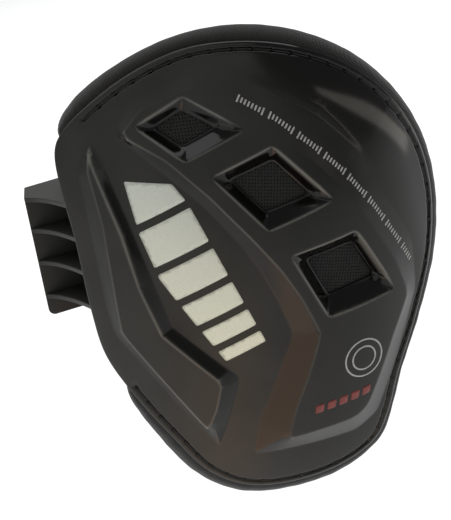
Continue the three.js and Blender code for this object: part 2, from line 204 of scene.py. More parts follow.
# The pad, the threads and the vents' mesh.
FOAM_STEP = 4.0
FOAM_ROUND = 1.2
FOAM_ROWS = (0.15, 0.5, 1.2)
COVER_STEP = 5.0
SWELL_PRESSURE = 40.0
SWELL_POINT_MASS = 0.01
SWELL_FRAMES = 20
SWELL_CAP = 3.0
BINDING_ROWS = 34
BINDING_RIPPLE = 0.09
THREAD_STEP = 0.28
THREAD_RADIUS = 0.2
THREAD_TWIST = 1.5
MESH_PITCH = 0.78
MESH_TILT = math.radians(24)
MESH_WOBBLE = 0.12
MESH_LIFT = 0.13
MESH_REACH = 26
STRAND_RADIUS = 0.14

# The badge's film and the prints.
BADGE_BARS = [15.0, 12.5, 10.5, 8.5, 6.5, 4.5]
BADGE_GAP = 2.6
BADGE_START = np.array([-37.8, 33.0])
BADGE_DOWN = np.array([0.27, -0.963])
FILM_STEP = 1.2
FILM_LIFT = 0.03
FILM_THICKNESS = 0.12
INK_THICKNESS = 0.04
TICK_CURVE = [
    (5.2, 48.5), (14.9, 39.3), (25.2, 26.5), (33.1, 15.2), (40.8, 0.5), (47.4, -15.5), (50.4, -23.9),
]
TICK_PITCH = 1.25
TICKS_IN_GROUP = 9
RING_CENTRE = np.array([23.5, -48.5])
RING_RADII = (7.2, 4.6)
RING_WIDTH = 0.6
DASH_PITCH = 4.3


# ------------------------------------------------------------------ the dome

def dome_face(x, z):
    rounded = np.clip(x, -DOME_ROUND_HALF_WIDTH, DOME_ROUND_HALF_WIDTH)
    across = np.sqrt(DOME_SIDE_RADIUS ** 2 - rounded ** 2)
    radius = np.where(z > DOME_CENTRE_Z, DOME_TOP_RADIUS, DOME_BOTTOM_RADIUS)
    up = z - DOME_CENTRE_Z
    along = np.sqrt(radius ** 2 - up ** 2)
    slope_x = rounded / across
    depth = DOME_SIDE_RADIUS - across + slope_x * (x - rounded) + radius - along
    return depth, slope_x, up / along


def wrap(x, z, o):
    """Flat points in millimetres to points of the frame in metres."""
    depth, slope_x, slope_z = dome_face(x, z)
    size = np.sqrt(slope_x ** 2 + slope_z ** 2 + 1)
    placed = np.stack([x + o * slope_x / size, depth - o / size, z + o * slope_z / size], -1)
    return (placed - SEAT) * MM


def unwrap(points):
    """Points of the frame in metres back to flat x, z and offset."""
    target = points / MM + SEAT
    x, z = target[:, 0].copy(), target[:, 2].copy()
    o = np.zeros(len(x))
    for _ in range(30):
        depth, slope_x, slope_z = dome_face(x, z)
        size = np.sqrt(slope_x ** 2 + slope_z ** 2 + 1)
        o = (depth - target[:, 1]) * size
        x = (x + target[:, 0] - o * slope_x / size) / 2
        z = (z + target[:, 2] - o * slope_z / size) / 2
    return x, z, o


# ------------------------------------------------------------------ flat curves

def unit(vectors):
    return vectors / np.linalg.norm(vectors, axis=1, keepdims=True)


def turned_left(vectors):
    return np.stack([-vectors[:, 1], vectors[:, 0]], -1)


def resample(points, step, closed=True):
    if closed:
        points = np.vstack([points, points[:1]])
    lengths = np.hypot(*np.diff(points, axis=0).T)
    along = np.concatenate([[0], np.cumsum(lengths)])
    count = max(3, int(round(along[-1] / step)))
    at = np.linspace(0, along[-1], count, endpoint=not closed)
    return np.stack([np.interp(at, along, points[:, 0]), np.interp(at, along, points[:, 1])], -1)


def smooth_loop(corners, step):
    """A centripetal Catmull-Rom loop, anticlockwise, through corners listed clockwise."""
    p = np.array(corners, float)
    pieces = []
    for i in range(len(p)):
        a, b, c, d = p[i - 1], p[i], p[(i + 1) % len(p)], p[(i + 2) % len(p)]
        t1 = np.linalg.norm(b - a) ** 0.5
        t2 = t1 + np.linalg.norm(c - b) ** 0.5
        t3 = t2 + np.linalg.norm(d - c) ** 0.5
        t = np.linspace(t1, t2, 24, endpoint=False)[:, None]
        ab = (t1 - t) / t1 * a + t / t1 * b
        bc = (t2 - t) / (t2 - t1) * b + (t - t1) / (t2 - t1) * c
        cd = (t3 - t) / (t3 - t2) * c + (t - t2) / (t3 - t2) * d
        abc = (t2 - t) / t2 * ab + t / t2 * bc
        bcd = (t3 - t) / (t3 - t1) * bc + (t - t1) / (t3 - t1) * cd
        pieces.append((t2 - t) / (t2 - t1) * abc + (t - t1) / (t2 - t1) * bcd)
    return resample(np.concatenate(pieces)[::-1], step)


def rounded(corners, radius, step=0.5):
    """A polygon with its corners rounded by a quadratic bend."""
    p = np.array(corners, float)
    points = []
    for i in range(len(p)):
        back = p[i - 1] - p[i]
        ahead = p[(i + 1) % len(p)] - p[i]
        start = p[i] + back / np.linalg.norm(back) * radius
        end = p[i] + ahead / np.linalg.norm(ahead) * radius
        for t in np.linspace(0, 1, 6):
            points.append((1 - t) ** 2 * start + 2 * t * (1 - t) * p[i] + t ** 2 * end)
    return resample(np.array(points), step)


def inset(loop, distance):
    """A loop moved inward. A sharp corner moves no more than twice the distance."""
    before = unit(loop - np.roll(loop, 1, axis=0))
    after = unit(np.roll(loop, -1, axis=0) - loop)
    inward = unit(turned_left(before + after))
    cosine = np.clip((inward * turned_left(before)).sum(axis=1), 0.5, 1)
    distance = np.broadcast_to(distance, len(loop))
    return loop + inward * (distance / cosine)[:, None]


def distance_to(points, line, closed=True):
    """The distance from each point to a line, how far along it the nearest place is, and on which side."""
    ends = np.roll(line, -1, axis=0) if closed else line[1:]
    starts = line if closed else line[:-1]
    best = np.full(len(points), 1e9)
    side = np.zeros(len(points))
    along = np.zeros(len(points))
    travelled = 0.0
    for a, b in zip(starts, ends):
        step = b - a
        length = np.linalg.norm(step)
        t = np.clip(((points[:, 0] - a[0]) * step[0] + (points[:, 1] - a[1]) * step[1]) / length ** 2, 0, 1)
        dx = points[:, 0] - a[0] - t * step[0]
        dz = points[:, 1] - a[1] - t * step[1]
        d = dx * dx + dz * dz
        near = d < best
        best[near] = d[near]
        side[near] = np.sign(step[0] * dz - step[1] * dx)[near]
        along[near] = (travelled + t * length)[near]
        travelled += length
    return np.sqrt(best), along, side


def inside(points, loop):
    """Which points a loop goes round: a level line from such a point crosses it an odd number of times."""
    result = np.zeros(len(points), bool)
    for a, b in zip(loop, np.roll(loop, -1, axis=0)):
        if a[1] == b[1]:
            continue
        crosses = (a[1] > points[:, 1]) != (b[1] > points[:, 1])
        result ^= crosses & (points[:, 0] < (b[0] - a[0]) * (points[:, 1] - a[1]) / (b[1] - a[1]) + a[0])
    return result


shell_loop = smooth_loop(SHELL_OUTLINE, SHELL_STEP)
pad_loop = smooth_loop(PAD_OUTLINE, PAD_STEP)


def seam_line(step):
    """The sewing line inside the cup's edge, from its lower left end anticlockwise to its upper left end."""
    line = inset(shell_loop, SEAM_INSET)
    beside = (line[:, 0] < -44) & (line[:, 1] > -42) & (line[:, 1] < 53)
    start = next(i for i in range(len(line)) if beside[i - 1] and not beside[i])
    line = np.roll(line, -start, axis=0)
    beside = np.roll(beside, -start)
    return resample(line[~beside], step, closed=False)


seam = seam_line(1.0)
stitches = seam_line(STITCH_PITCH)


# ------------------------------------------------------------------ the cup's height map

class HeightMap:
    """Heights on a square grid, read between the grid's points."""

    def __init__(self, low, high):
        self.low = np.array(low, float)
        self.shape = tuple(int((high[k] - low[k]) / CELL) + 1 for k in (0, 1))
        xs = self.low[0] + np.arange(self.shape[0]) * CELL
        zs = self.low[1] + np.arange(self.shape[1]) * CELL
        self.points = np.stack(np.meshgrid(xs, zs, indexing="ij"), -1).reshape(-1, 2)
        self.values = np.zeros(len(self.points))

    def near(self, loop, margin=1.0):
        low = loop.min(axis=0) - margin
        high = loop.max(axis=0) + margin
        return np.where(((self.points > low) & (self.points < high)).all(axis=1))[0]

    def ramp(self, foot, top):
        """0 outside the foot, 1 inside the top, and rising evenly between the two."""
        share = np.zeros(len(self.points))
        cells = self.near(foot)
        spots = self.points[cells]
        low, high = distance_to(spots, foot)[0], distance_to(spots, top)[0]
        value = np.where(inside(spots, foot), low / (low + high + 1e-9), 0.0)
        share[cells] = np.where(inside(spots, top), 1.0, value)
        return share

    def blur(self, size):
        reach = int(4 * size / CELL)
        weights = np.exp(-0.5 * (np.arange(-reach, reach + 1) * CELL / size) ** 2)
        weights /= weights.sum()
        grid = self.values.reshape(self.shape)
        for axis in (0, 1):
            padded = np.pad(grid, [(reach, reach) if k == axis else (0, 0) for k in (0, 1)], mode="edge")
            total = np.zeros_like(grid)
            for k, weight in enumerate(weights):
                window = [slice(None), slice(None)]
                window[axis] = slice(k, k + grid.shape[axis])
                total += weight * padded[tuple(window)]
            grid = total
        self.values = grid.ravel()

    def copy(self):
        twin = object.__new__(HeightMap)
        twin.low, twin.shape, twin.points = self.low, self.shape, self.points
        twin.values = self.values.copy()
        return twin

    def bend(self):
        """How sharply the surface turns at each grid point."""
        grid = self.values.reshape(self.shape)
        total = -4 * grid
        for shift, axis in ((1, 0), (-1, 0), (1, 1), (-1, 1)):
            total = total + np.roll(grid, shift, axis=axis)
        return (total / CELL ** 2).ravel()

    def read(self, x, z, values=None):
        """The heights, or other values of the same grid, at flat points."""
        grid = (self.values if values is None else values).reshape(self.shape)
        u = np.clip((x - self.low[0]) / CELL, 0, self.shape[0] - 1.001)
        v = np.clip((z - self.low[1]) / CELL, 0, self.shape[1] - 1.001)
        i, j = u.astype(int), v.astype(int)
        fu, fv = u - i, v - j
        low = grid[i, j] * (1 - fu) + grid[i + 1, j] * fu
        high = grid[i, j + 1] * (1 - fu) + grid[i + 1, j + 1] * fu
        return low * (1 - fv) + high * fv


def body_height(x, z):
    """The raised body grows taller downward to its lower corner, then eases off."""
    below = np.logaddexp(0, (-35 - z) / 6) * 6
    right = np.logaddexp(0, (x - 22) / 4) * 4
    return np.clip(3.3 - 0.04 * z - 0.075 * below - 0.095 * right, 0.5, 5)


def scoop_height(points):
    """A rounded ridge with a shallow scoop beyond it, on the cup's upper right."""
    distance, along, side = distance_to(points, np.array(RIDGE, float), closed=False)
    length = np.hypot(*np.diff(np.array(RIDGE, float), axis=0).T).sum()
    envelope = np.sin(np.clip(along / length, 0, 1) * math.pi) ** 1.2
    gentle = 0.9 * np.exp(-(distance / 6) ** 2)
    steep = np.exp(-(distance / 1.9) ** 2)
    beyond = 0.8 * steep - 0.55 * (1 - steep) * np.exp(-(distance / 4.3) ** 2)
    return envelope * np.where(side > 0, beyond, gentle)


def cup_height_map():
    cup = HeightMap((-80, -112), (84, 84))
    x, z = cup.points.T
    wedge_rise = np.clip(WEDGE_HEIGHT - 0.03 * np.maximum(z - 10, 0), 1.5, WEDGE_HEIGHT)
    wedge_ramp = cup.ramp(rounded(WEDGE_FOOT, WEDGE_FOOT_ROUND, 3), rounded(WEDGE_TOP, WEDGE_TOP_ROUND, 3))
    body_ramp = cup.ramp(rounded(BODY_FOOT, BODY_ROUND, 3), rounded(BODY_TOP, BODY_ROUND, 3))
    cup.values = np.maximum(wedge_ramp * wedge_rise, body_ramp * body_height(x, z)) + scoop_height(cup.points)
    for mouth, window in VENTS.values():
        floor = rounded(inset_corners(window, -0.5), WINDOW_ROUND, 1.5)
        drop = cup.ramp(rounded(mouth, MOUTH_ROUND, 1.5), floor)
        cup.values = cup.values * (1 - drop) + WINDOW_FLOOR * drop
    cup.blur(CREASE_BLUR)
    cells = cup.near(seam, 4)
    spots = cup.points[cells]
    distance = distance_to(spots, seam[::2], closed=False)[0]
    groove = -GROOVE_DEPTH / (1 + (distance / GROOVE_HALF_WIDTH) ** 6)
    holes = np.zeros(len(spots))
    for centre in stitches:
        gap = np.hypot(*(spots - centre).T)
        holes = np.minimum(holes, -HOLE_DEPTH * np.exp(-(gap / HOLE_RADIUS) ** 4))
    cup.values[cells] += groove + holes
    return cup


def inset_corners(corners, distance):
    return inset(np.array(corners, float), distance)


cup = cup_height_map()
cup_bend = cup.bend()
window_loops = [rounded(window, WINDOW_ROUND) for mouth, window in VENTS.values()]


def underside_map():
    """The cup's face without fine detail, kept low round the vents so that their steep walls stay thick."""
    under = cup.copy()
    for loop in window_loops:
        cells = under.near(loop, POCKET_SKIRT + 1)
        spots = under.points[cells]
        skirt = cells[inside(spots, loop) | (distance_to(spots, loop)[0] < POCKET_SKIRT)]
        under.values[skirt] = WINDOW_FLOOR
    under.blur(UNDERSIDE_BLUR)
    return under


under = underside_map()


# ------------------------------------------------------------------ meshes

def make_object(name, vertices, faces, smooth=True):
    mesh = bpy.data.meshes.new(name)
    mesh.from_pydata(np.asarray(vertices).tolist(), [], [list(map(int, f)) for f in faces])
    mesh.update()
    if smooth:
        mesh.shade_smooth()
    piece = bpy.data.objects.new(name, mesh)
    bpy.context.scene.collection.objects.link(piece)
    return piece


def activate(piece):
    for other in bpy.context.selected_objects:
        other.select_set(False)
    piece.select_set(True)
    bpy.context.view_layer.objects.active = piece


def apply_modifiers(piece):
    activate(piece)
    for modifier in list(piece.modifiers):
        bpy.ops.object.modifier_apply(modifier=modifier.name)
    return piece


def hexagons(loop, step, clear):
    """Points of a hexagonal grid inside a loop, clear of its edge."""
    low, high = loop.min(axis=0), loop.max(axis=0)
    rows = np.arange(low[1], high[1], step * HEXAGON_RISE)
    columns = np.arange(low[0], high[0], step)
    x = columns[None, :] + (np.arange(len(rows)) % 2)[:, None] * step / 2
    z = np.broadcast_to(rows[:, None], x.shape)
    points = np.stack([x.ravel(), z.ravel()], -1)
    points = points[inside(points, loop)]
    return points[distance_to(points, loop[::2])[0] > clear]


def triangulate(loops, points):
    """Triangles over the region inside the first loop and outside the others."""
    everything = np.concatenate([*loops, points])
    edges = []
    start = 0
    for loop in loops:
        edges += [(start + i, start + (i + 1) % len(loop)) for i in range(len(loop))]
        start += len(loop)
    result = delaunay_2d_cdt([Vector(p) for p in everything], edges, [], 0, 1e-6)
    source = np.array([origins[0] if origins else -1 for origins in result[3]])
    triangles = source[np.array([list(f) for f in result[2]])]
    centres = everything[triangles].mean(axis=1)
    keep = inside(centres, loops[0])
    for loop in loops[1:]:
        keep &= ~inside(centres, loop)
    return everything, triangles[keep]


def closed_layer(loops, top_points, bottom_points, top, bottom):
    """A closed solid between two offsets. top and bottom give the offset at flat points."""
    upper, upper_faces = triangulate(loops, top_points)
    lower, lower_faces = triangulate(loops, bottom_points)
    vertices = np.concatenate([wrap(*upper.T, top(upper)), wrap(*lower.T, bottom(lower))])
    faces = [tuple(f) for f in upper_faces] + [tuple(f[::-1] + len(upper)) for f in lower_faces]
    start = 0
    for number, loop in enumerate(loops):
        for i in range(len(loop)):
            a, b = start + i, start + (i + 1) % len(loop)
            wall = (a + len(upper), b + len(upper), b, a)
            faces.append(wall if number == 0 else wall[::-1])
        start += len(loop)
    return vertices, faces


def rim_rows(loop, distances):
    return np.concatenate([inset(loop, d) for d in distances])


def edge_drop(points, loop, radius):
    """How far a rounded edge falls away near a loop."""
    distance = np.minimum(distance_to(points, loop)[0], radius)
    return radius - np.sqrt(np.maximum(radius ** 2 - (radius - distance) ** 2, 0))


def flat_level(offset):
    return lambda points: np.full(len(points), float(offset))


# ------------------------------------------------------------------ the moulded cup

def rows_beside(line, distances, closed=True):
    """Rows of points beside a line, at signed distances to its left."""
    if closed:
        ahead = np.roll(line, -1, axis=0) - np.roll(line, 1, axis=0)
    else:
        ahead = np.gradient(line, axis=0)
    left = turned_left(unit(ahead))
    return np.concatenate([line + left * distance for distance in distances])


def seam_points():
    """Rows of points along the seam's channel and rings round its needle holes."""
    rows = rows_beside(resample(seam, SEAM_STEP, closed=False), SEAM_ROWS, closed=False)
    gap = np.min([np.hypot(*(rows - hole).T) for hole in stitches], axis=0)
    turns = np.arange(8) * math.pi / 4
    spokes = np.stack([np.cos(turns), np.sin(turns)], -1)
    rings = [(stitches[:, None] + spokes * radius).reshape(-1, 2) for radius in HOLE_RINGS]
    return np.concatenate([rows[gap > HOLE_CLEAR], stitches, *rings])


def cup_points():
    """Dense points along every edge and bend of the cup's face, and sparse points between."""
    edges = [rounded(WEDGE_FOOT, WEDGE_FOOT_ROUND), rounded(WEDGE_TOP, WEDGE_TOP_ROUND)]
    edges += [rounded(BODY_FOOT, BODY_ROUND), rounded(BODY_TOP, BODY_ROUND)]
    edges += [rounded(mouth, MOUTH_ROUND) for mouth, window in VENTS.values()]
    grid = hexagons(shell_loop, FINE_STEP, 1.3)
    column = np.round((grid[:, 0] - grid[0, 0]) / (FINE_STEP / 2))
    row = np.round(grid[:, 1] / (FINE_STEP * HEXAGON_RISE))
    sparse = (column % SPARSE_COLUMNS == 0) & (row % SPARSE_ROWS == 0)
    keep = sparse | (np.abs(cup.read(*grid.T, cup_bend)) > BEND_LIMIT)
    for edge in edges:
        keep &= distance_to(grid, edge[::2])[0] > EDGE_CLEAR
    rows = np.concatenate([rows_beside(edge, EDGE_ROWS) for edge in edges])
    points = np.concatenate([grid[keep], rows])
    keep = inside(points, inset(shell_loop, LIP_CLEAR))
    keep &= distance_to(points, seam[::2], closed=False)[0] > SEAM_CLEAR
    for loop in window_loops:
        keep &= ~inside(points, loop) & (distance_to(points, loop)[0] > WINDOW_CLEAR)
    window_rows = [rows_beside(loop, WINDOW_ROWS) for loop in window_loops]
    return np.concatenate([points[keep], seam_points(), *window_rows])


def domed_cup():
    def outer(points):
        height = cup.read(*points.T)
        near = distance_to(points, shell_loop)[0] < LIP_RADIUS
        drop = np.zeros(len(points))
        drop[near] = edge_drop(points[near], shell_loop, LIP_RADIUS)
        return height - drop

    def inner(points):
        return np.maximum(under.read(*points.T) - SHELL_WALL, -SHELL_WALL)

    outer_points = np.concatenate([rim_rows(shell_loop, LIP_ROWS), cup_points()])
    inner_points = hexagons(inset(shell_loop, 0.5), UNDERSIDE_STEP, 1.0)
    for loop in window_loops:
        inner_points = inner_points[~inside(inner_points, loop) & (distance_to(inner_points, loop)[0] > 0.8)]
    return closed_layer([shell_loop, *window_loops], outer_points, inner_points, outer, inner)


def left_edge_x(z):
    edge = np.array(LEFT_EDGE)
    return np.interp(z, edge[:, 1], edge[:, 0])


def wall_front(z):
    x = left_edge_x(z) + 0.6
    return x, float(dome_face(np.array(x), np.array(float(z)))[0]) + 0.6


def lofted(name, loops, bevel):
    """A closed solid through loops of equal length, given in the dome's straight axes."""
    count = len(loops[0])
    vertices = (np.array([p for loop in loops for p in loop], float) - SEAT) * MM
    faces = [tuple(range(count))[::-1], tuple(range(len(vertices) - count, len(vertices)))]
    for level in range(len(loops) - 1):
        for i in range(count):
            a, b = level * count + i, level * count + (i + 1) % count
            faces.append((a, b, b + count, a + count))
    piece = make_object(name, vertices, faces, smooth=False)
    rounding = piece.modifiers.new("edges", "BEVEL")
    rounding.width = bevel * MM
    rounding.segments = 3
    rounding.limit_method = "ANGLE"
    rounding.angle_limit = math.radians(35)
    return apply_modifiers(piece)


def extruded(name, loop, low, high, bevel):
    return lofted(name, [[(x, y, z) for x, y in loop] for z in (low, high)], bevel)


def side_wall():
    loops = []
    for z, back in WALL_STATIONS:
        x, y = wall_front(z)
        back_x = x + SIDE_WALL_DRAFT * (back - y)
        loops.append([(x, y, z), (x + SIDE_WALL, y + 1, z), (back_x + SIDE_WALL, back, z), (back_x, back, z)])
    return lofted("side_wall", loops, 0.5)


def tab_left(z):
    return TAB_LEFT_AT_TOP - TAB_LEFT_SLANT * (TAB_TOP_Z - z)


def tab_block():
    def section(z, shrink):
        left = tab_left(z) + shrink
        return [
            (left, TAB_FRONT_Y, z), (TAB_INNER_X, TAB_FRONT_Y, z),
            (TAB_INNER_X, TAB_BACK_Y, z), (left + TAB_END_DRAFT, TAB_BACK_Y, z),
        ]

    loops = []
    for turn in np.linspace(0, math.pi / 2, 6):
        level = TAB_BOTTOM_Z + TAB_CORNER * (1 - math.cos(turn))
        loops.append(section(level, TAB_CORNER * (1 - math.sin(turn))))
    return lofted("tab_block", [*loops, section(TAB_TOP_Z, 0)], 0.45)


def tab_rib(z):
    """A gusset whose crest curves from the cup's wall out to the tab's end."""
    front_x, front_y = wall_front(z)
    left = tab_left(z) + 0.3
    bend = np.array([(left + front_x) / 2, TAB_FRONT_Y + 0.22 * (front_y - TAB_FRONT_Y)])
    start, end = np.array([left, TAB_FRONT_Y - 0.3]), np.array([front_x, front_y + 1])
    crest = [(1 - t) ** 2 * start + 2 * t * (1 - t) * bend + t ** 2 * end for t in np.linspace(0, 1, 18)]
    inner_x = front_x + SIDE_WALL / 2
    root_y = TAB_FRONT_Y + 0.5
    loop = [(left, root_y), *map(tuple, crest), (inner_x, front_y + 2), (inner_x, root_y)]
    return extruded("tab_rib", loop, z, z + RIB_THICKNESS, 0.35)


def combine(piece, other, operation):
    cut = piece.modifiers.new("combine", "BOOLEAN")
    cut.operation = operation
    cut.solver = "MANIFOLD"
    cut.object = other
    apply_modifiers(piece)
    bpy.data.objects.remove(other)


def impact_shell():
    shell = make_object("cup_moulding", *domed_cup())
    combine(shell, side_wall(), "UNION")
    combine(shell, tab_block(), "UNION")
    for z in RIB_LEVELS:
        combine(shell, tab_rib(z), "UNION")
    for low, high in zip(RIB_LEVELS[:-1], RIB_LEVELS[1:]):
        pocket = extruded("tab_pocket", POCKET_BETWEEN_RIBS, low + RIB_THICKNESS, high, 1.0)
        combine(shell, pocket, "DIFFERENCE")
    activate(shell)
    bpy.ops.object.shade_auto_smooth(angle=math.radians(38))
    apply_modifiers(shell)
    return shell


# ------------------------------------------------------------------ the pad

foam_loop = inset(pad_loop, BINDING_WIDTH + GAP)


def foam_layer(name, top, thickness, windows=()):
    """A foam layer with softly rounded edges."""
    def fall(points):
        return edge_drop(points, foam_loop, FOAM_ROUND)

    points = np.concatenate([rim_rows(foam_loop, FOAM_ROWS), hexagons(foam_loop, FOAM_STEP, 2.5)])
    for window in windows:
        points = points[~inside(points, window) & (distance_to(points, window)[0] > 1.2)]
    return make_object(name, *closed_layer(
        [foam_loop, *windows], points, points, lambda p: top - fall(p), lambda p: top - thickness + fall(p)))


def sewn_textiles():
    """The pad's cover and lining, as one textile envelope whose lining is swelled between its seams."""
    cover = hexagons(foam_loop, COVER_STEP, 2.5)
    stitched = resample(seam[inside(seam, inset(foam_loop, 0.5))], 2.5, closed=False)
    lining = hexagons(foam_loop, FOAM_STEP, 2.0)
    lining = lining[distance_to(lining, stitched, closed=False)[0] > 1.4]
    lining = np.concatenate([stitched, lining])
    vertices, faces = closed_layer(
        [foam_loop[::2]], cover, lining, flat_level(COVER_TOP), flat_level(PAD_BACK))
    envelope = make_object("pad_envelope", vertices, faces)
    flat_x, flat_z, offset = unwrap(vertices)
    spots = np.stack([flat_x, flat_z], -1)
    held = (offset > PAD_BACK + 0.5) | (distance_to(spots, stitched, closed=False)[0] < 0.6)
    held |= distance_to(spots, foam_loop)[0] < 0.6
    swell(envelope, held)
    moved = read_vertices(envelope) - vertices
    farthest = np.linalg.norm(moved, axis=1).max()
    after = vertices + moved * min(1, SWELL_CAP * MM / max(farthest, MM))
    is_lining = np.array([all(offset[list(f)] < PAD_BACK + 0.5) for f in faces])
    is_cover = np.array([all(offset[list(f)] > COVER_TOP - 0.5) for f in faces])
    pieces = []
    sides = (("pad_cover", COVER_THICKNESS, is_cover), ("pad_lining", LINING_THICKNESS, is_lining))
    for name, thickness, wanted in sides:
        pieces.append(textile(name, thickness, after, [f for f, keep in zip(faces, wanted) if keep]))
    bpy.data.objects.remove(envelope)
    return pieces


def swell(envelope, held):
    """Blows up the envelope's loose part with cloth simulation, and keeps the shape."""
    group = envelope.vertex_groups.new(name="held")
    group.add([int(i) for i in np.where(held)[0]], 1.0, "REPLACE")
    cloth = envelope.modifiers.new("swell", "CLOTH")
    settings = cloth.settings
    settings.vertex_group_mass = "held"
    settings.mass = SWELL_POINT_MASS
    settings.use_pressure = True
    settings.uniform_pressure_force = -SWELL_PRESSURE if faces_inward(envelope) else SWELL_PRESSURE
    settings.effector_weights.gravity = 0.0
    settings.quality = 6
    cloth.collision_settings.use_collision = False
    cloth.point_cache.frame_start = 1
    cloth.point_cache.frame_end = SWELL_FRAMES
    scene = bpy.context.scene
    for number in range(1, SWELL_FRAMES + 1):
        scene.frame_set(number)
    activate(envelope)
    bpy.ops.object.modifier_apply(modifier=cloth.name)
    scene.frame_set(1)


def faces_inward(envelope):
    shape = bmesh.new()
    shape.from_mesh(envelope.data)
    volume = shape.calc_volume(signed=True)
    shape.free()
    return volume < 0


def read_vertices(piece):
    flat = np.empty(len(piece.data.vertices) * 3)
    piece.data.vertices.foreach_get("co", flat)
    return flat.reshape(-1, 3)


def textile(name, thickness, vertices, faces):
    """A sheet of cloth from some of the envelope's faces, thickened inward."""
    used = sorted({i for f in faces for i in f})
    place = {old: new for new, old in enumerate(used)}
    piece = make_object(name, vertices[used], [[place[i] for i in f] for f in faces])
    thick = piece.modifiers.new("thickness", "SOLIDIFY")
    thick.thickness = thickness * MM
    thick.offset = -1
    finer = piece.modifiers.new("finer", "SUBSURF")
    finer.levels = finer.render_levels = 1
    return apply_modifiers(piece)


def binding_section(lip):
    """One section of the binding, as inward distance from the pad's edge and offset, from front to back."""
    proud = 1.2 * np.clip(lip / 4, 0, 1)
    seam_at = np.maximum(lip, 0) + SEAM_INSET
    return [
        (seam_at + 0.9, MESH_TOP - 0.35),
        (np.maximum(lip, 0) + 1.0, MESH_TOP - 0.3),
        (np.maximum(lip * 0.75, 1.5), MESH_TOP - 0.1 + proud * 0.8),
        (np.maximum(lip * 0.4, 0.9), MESH_TOP - 0.3 + proud),
        (0 * lip - 0.3, MESH_TOP - 1.5 + proud * 0.5),
        (0 * lip - 0.9, MESH_TOP - 4.0),
        (0 * lip - 0.6, MESH_TOP - 8.5),
        (0 * lip + 0.5, MESH_TOP - 11.9),
        (0 * lip + 2.6, PAD_BACK - 0.9),
        (0 * lip + 5.0, PAD_BACK - 1.2),
        (seam_at + 1.0, PAD_BACK - 0.7),
        (seam_at + 1.8, PAD_BACK - 0.35),
    ]


def section_points(section, count):
    """Points on a smooth curve through a section's points, for every place along the edge at once."""
    knots = np.array([np.stack(np.broadcast_arrays(d, o), -1) for d, o in section])
    rows = []
    for place in np.linspace(0, len(knots) - 1, count):
        i = min(int(place), len(knots) - 2)
        t = place - i
        a, b, c, d = (knots[min(max(k, 0), len(knots) - 1)] for k in (i - 1, i, i + 1, i + 2))
        rows.append(0.5 * (2 * b + (c - a) * t + (2 * a - 5 * b + 4 * c - d) * t ** 2
                           + (3 * b - a - 3 * c + d) * t ** 3))
    return rows


def edge_binding():
    """Tape round the pad's edge. Where the pad reaches past the cup's lip, the tape stands proud of it."""
    loop = pad_loop
    lip = distance_to(loop, shell_loop)[0] * np.where(inside(loop, shell_loop), -1, 1)
    for _ in range(6):
        lip = (np.roll(lip, 1) + lip + np.roll(lip, -1)) / 3
    rows = section_points(binding_section(lip), BINDING_ROWS)
    along = np.arange(len(loop)) * PAD_STEP
    vertices = []
    for number, row in enumerate(rows):
        flat = inset(loop, row[:, 0])
        ripple = BINDING_RIPPLE * np.sin(along * 0.71 + number * 0.35) * np.sin(along * 0.173 + 1.1)
        vertices.append(wrap(*flat.T, row[:, 1] + ripple))
    count = len(loop)
    faces = []
    for number in range(len(rows) - 1):
        for i in range(count):
            a, b = number * count + i, number * count + (i + 1) % count
            faces.append((a, a + count, b + count, b))
    piece = make_object("edge_tape", np.concatenate(vertices), faces)
    thick = piece.modifiers.new("thickness", "SOLIDIFY")
    thick.thickness = TAPE_THICKNESS * MM
    thick.offset = -1
    return apply_modifiers(piece)


# ------------------------------------------------------------------ threads and mesh

def tube(path, radius, sides):
    """A round closed strand along a path of points, in metres."""
    ahead = unit(np.gradient(path, axis=0))
    side = unit(np.cross(ahead, [0.3, 0.9, 0.31]))
    up = np.cross(side, ahead)
    angles = np.arange(sides) * 2 * math.pi / sides
    ring = side[:, None] * np.cos(angles)[None, :, None] + up[:, None] * np.sin(angles)[None, :, None]
    vertices = (path[:, None] + ring * radius).reshape(-1, 3)
    faces = []
    for k in range(len(path) - 1):
        for i in range(sides):
            a, b = k * sides + i, k * sides + (i + 1) % sides
            faces.append((a, a + sides, b + sides, b))
    last = (len(path) - 1) * sides
    faces.append(tuple(range(sides)))
    faces.append(tuple(last + i for i in range(sides))[::-1])
    return vertices, faces


def joined(parts):
    vertices, faces, start = [], [], 0
    for part_vertices, part_faces in parts:
        vertices.append(part_vertices)
        faces += [tuple(i + start for i in f) for f in part_faces]
        start += len(part_vertices)
    return np.concatenate(vertices), faces


def stitch_path(level, dip, shift, first):
    """A lockstitch thread's path: it goes into each hole, and between holes lies a shift to the left."""
    line = resample(stitches[first:], THREAD_STEP, closed=False)
    along = np.arange(len(line)) * THREAD_STEP
    from_hole = np.abs(np.sin(along / STITCH_PITCH * math.pi))
    offset = level + dip * np.exp(-(from_hole / 0.22) ** 2)
    left = turned_left(unit(np.gradient(line, axis=0)))
    flat = line + left * (shift * from_hole)[:, None]
    return wrap(*flat.T, offset), along


def twisted_thread(name, level, dip, runs):
    """A thread of two strands. Each run is its shift to the left and the hole it starts at."""
    parts = []
    for shift, first in runs:
        centre, along = stitch_path(level, dip, shift, first)
        ahead = unit(np.gradient(centre, axis=0))
        side = unit(np.cross(ahead, [0, 1.0, 0]))
        up = np.cross(side, ahead)
        for start in (0, math.pi):
            turn = (along / THREAD_TWIST * 2 * math.pi + start)[:, None]
            path = centre + (side * np.cos(turn) + up * np.sin(turn)) * THREAD_RADIUS * 0.85 * MM
            parts.append(tube(path, THREAD_RADIUS * MM, 6))
    return make_object(name, *joined(parts))


